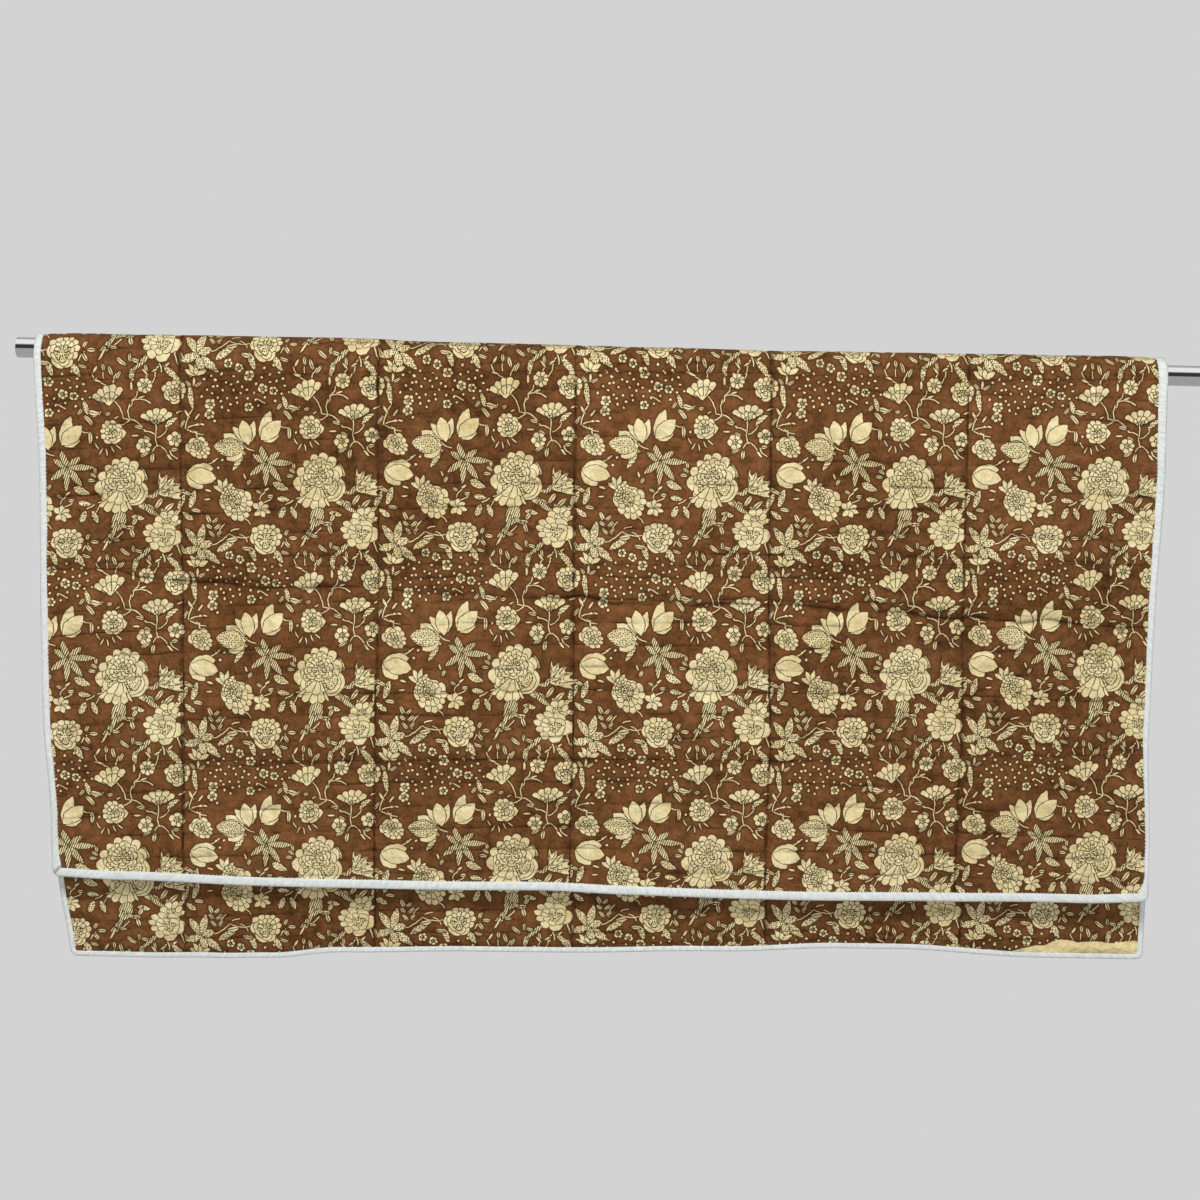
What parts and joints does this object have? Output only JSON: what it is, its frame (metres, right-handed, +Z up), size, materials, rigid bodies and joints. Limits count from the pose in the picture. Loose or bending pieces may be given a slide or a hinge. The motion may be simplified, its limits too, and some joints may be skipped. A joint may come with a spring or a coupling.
{
  "type": "block printed quilt on a hanging rod",
  "caption": "Thin cotton quilt with a floral block print and white bound edges, folded over a chromed steel rod so that the front flap hangs shorter than the back one.",
  "frame": {"origin": "centre of the rod's left end face", "axes": "+X along the rod, +Z up, the short front flap hangs on the -Y side"},
  "size_m": [1.49, 0.0573, 0.8016],
  "materials": {
    "printed_cotton": "hand block printed cotton cambric, brown ground with straw coloured flowers, quilted in rows",
    "white_binding": "plain white cotton strip, matt",
    "chrome_rod": "bright chrome plate on steel tube"
  },
  "bodies": {
    "root": {"quilt": "printed_cotton", "binding": "white_binding", "rod": "chrome_rod"}
  },
  "joints": []
}
